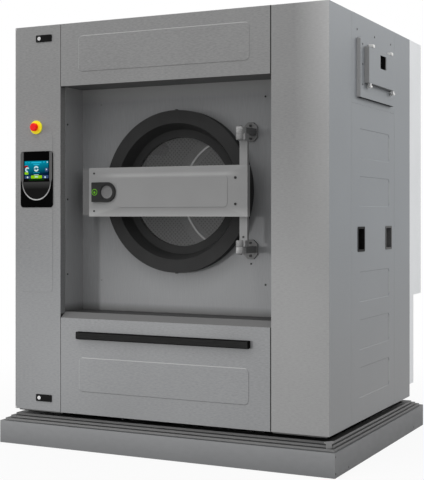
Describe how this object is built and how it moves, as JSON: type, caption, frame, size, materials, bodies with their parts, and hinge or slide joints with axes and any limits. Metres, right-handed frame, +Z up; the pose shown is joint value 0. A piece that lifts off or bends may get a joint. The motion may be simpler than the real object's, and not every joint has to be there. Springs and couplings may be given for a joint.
{
  "type": "washer-extractor",
  "caption": "Floor-standing washer-extractor: steel cabinet floating on a stepped base, round glazed door under a cross beam, touch panel, stop button and a belt-driven drum.",
  "frame": {"origin": "middle of the overall footprint, on the floor", "axes": "+X to the right seen from the front, +Y towards the back, +Z up"},
  "size_m": [1.753, 1.496, 2.053],
  "materials": {
    "front_steel": "fine horizontal brushed grain, satin",
    "side_steel": "fine horizontal brushed grain, slightly blue",
    "base_steel": "satin grey",
    "step_steel": "satin grey with dark treads",
    "frame_steel": "satin grey",
    "white_paint": "satin white",
    "beam_steel": "smooth satin grey",
    "bright_steel": "polished",
    "drum_steel": "perforated polished steel",
    "shaft_steel": "turned",
    "cast": "machined casting",
    "motor_paint": "satin blue grey",
    "black_plastic": "matte black",
    "button_grey": "dished satin grey",
    "rubber_black": "matte",
    "door_glazing": "clear",
    "window_glazing": "dark tinted",
    "touch_black": "gloss black with chrome trim",
    "screen_glow": "lit display",
    "collar_yellow": "satin yellow",
    "button_red": "satin red",
    "clip_white": "cream",
    "pipe_grey": "smooth grey",
    "inlet_brass": "turned"
  },
  "bodies": {
    "base": {"base_plinth": "base_steel", "base_steps": "step_steel", "corner_gussets": "step_steel", "air_springs": "rubber_black", "damper_bodies": "motor_paint"},
    "cabinet": {"chassis_frame": "frame_steel", "damper_rods": "bright_steel", "roof_panel": "side_steel", "right_column": "front_steel", "side_sheets": "side_steel", "top_front_panel": "front_steel", "bottom_front_panel": "front_steel", "bumper_bar": "black_plastic", "recess_liners": "front_steel", "recess_panel": "front_steel", "mouth_gasket": "rubber_black", "back_panel": "side_steel", "rear_housings": "white_paint", "tub_shell": "frame_steel", "tub_end_plates": "frame_steel", "bearing_housing": "cast", "shaft_bearings": "shaft_steel", "motor": "motor_paint", "drive_belt": "rubber_black", "drain_valve": "pipe_grey", "water_inlets": "inlet_brass", "hinge_brackets": "bright_steel", "hinge_pins": "bright_steel", "panel_screws": "bright_steel", "lock_case": "frame_steel", "supply_plate": "side_steel", "supply_hinges": "bright_steel"},
    "drum_unit": {"drum_shell": "drum_steel", "drum_front_ring": "drum_steel", "drum_back": "drum_steel", "drum_lifters": "drum_steel", "drum_shaft": "shaft_steel", "drum_pulley": "cast"},
    "motor_rotor": {"motor_pulley": "cast"},
    "door_unit": {"door_rim": "black_plastic", "door_glass": "door_glazing", "door_beam": "beam_steel", "beam_screws": "bright_steel", "hinge_post": "beam_steel", "lock_housing": "black_plastic"},
    "release": {"release_button": "button_grey"},
    "bolt": {"lock_bolt": "bright_steel"},
    "control_door": {"column_door": "front_steel", "touch_panel": "touch_black", "touch_screen": "screen_glow", "estop_collar": "collar_yellow", "lock_plates": "black_plastic"},
    "stop": {"estop_button": "button_red"},
    "upper_key": {"upper_lock": "bright_steel"},
    "lower_key": {"lower_lock": "bright_steel"},
    "side_cover": {"service_panel": "side_steel", "grip_cups": "black_plastic"},
    "supply_cover": {"supply_lid": "side_steel", "supply_window": "window_glazing", "supply_clips": "clip_white"}
  },
  "joints": [
    {"name": "suspension_travel", "type": "slide", "parent": "base", "child": "cabinet", "axis": [0, 0, 1], "range_m": [-0.01, 0.01], "stiffness_N_per_m": 981000, "springref_m": 0.02, "deforming": ["air_springs"]},
    {"name": "drum_spin", "type": "hinge", "parent": "cabinet", "child": "drum_unit", "pos_m": [0, 0, 1.236], "axis": [0, 1, 0], "continuous": true},
    {"name": "motor_spin", "type": "hinge", "parent": "cabinet", "child": "motor_rotor", "pos_m": [-0.45, 0, 0.385], "axis": [0, 1, 0], "continuous": true},
    {"name": "door_swing", "type": "hinge", "parent": "cabinet", "child": "door_unit", "pos_m": [0.385, -0.65, 1.236], "axis": [0, 0, 1], "range_deg": [0, 150]},
    {"name": "release_push", "type": "slide", "parent": "door_unit", "child": "release", "axis": [0, 1, 0], "range_m": [0, 0.006], "stiffness_N_per_m": 1500},
    {"name": "lock_bolt_slide", "type": "slide", "parent": "cabinet", "child": "bolt", "axis": [1, 0, 0], "range_m": [0, 0.014]},
    {"name": "control_door_swing", "type": "hinge", "parent": "cabinet", "child": "control_door", "pos_m": [-0.8195, -0.6815, 1.1], "axis": [0, 0, -1], "range_deg": [0, 100]},
    {"name": "estop_push", "type": "slide", "parent": "control_door", "child": "stop", "axis": [0, 1, 0], "range_m": [0, 0.005], "stiffness_N_per_m": 2500},
    {"name": "upper_lock_turn", "type": "hinge", "parent": "control_door", "child": "upper_key", "pos_m": [-0.68, -0.692, 1.99], "axis": [0, 1, 0], "range_deg": [0, 90]},
    {"name": "lower_lock_turn", "type": "hinge", "parent": "control_door", "child": "lower_key", "pos_m": [-0.68, -0.692, 0.226], "axis": [0, 1, 0], "range_deg": [0, 90]},
    {"name": "supply_lid_tilt", "type": "hinge", "parent": "cabinet", "child": "supply_cover", "pos_m": [0.864, 0, 1.724], "axis": [0, 1, 0], "range_deg": [0, 110]},
    {"name": "service_panel_pull", "type": "slide", "parent": "cabinet", "child": "side_cover", "axis": [1, 0, 0], "range_m": [0, 0.25]}
  ],
  "couplings": [
    {"joint": "motor_spin", "follows": "drum_spin", "ratio": 3.3333}
  ]
}
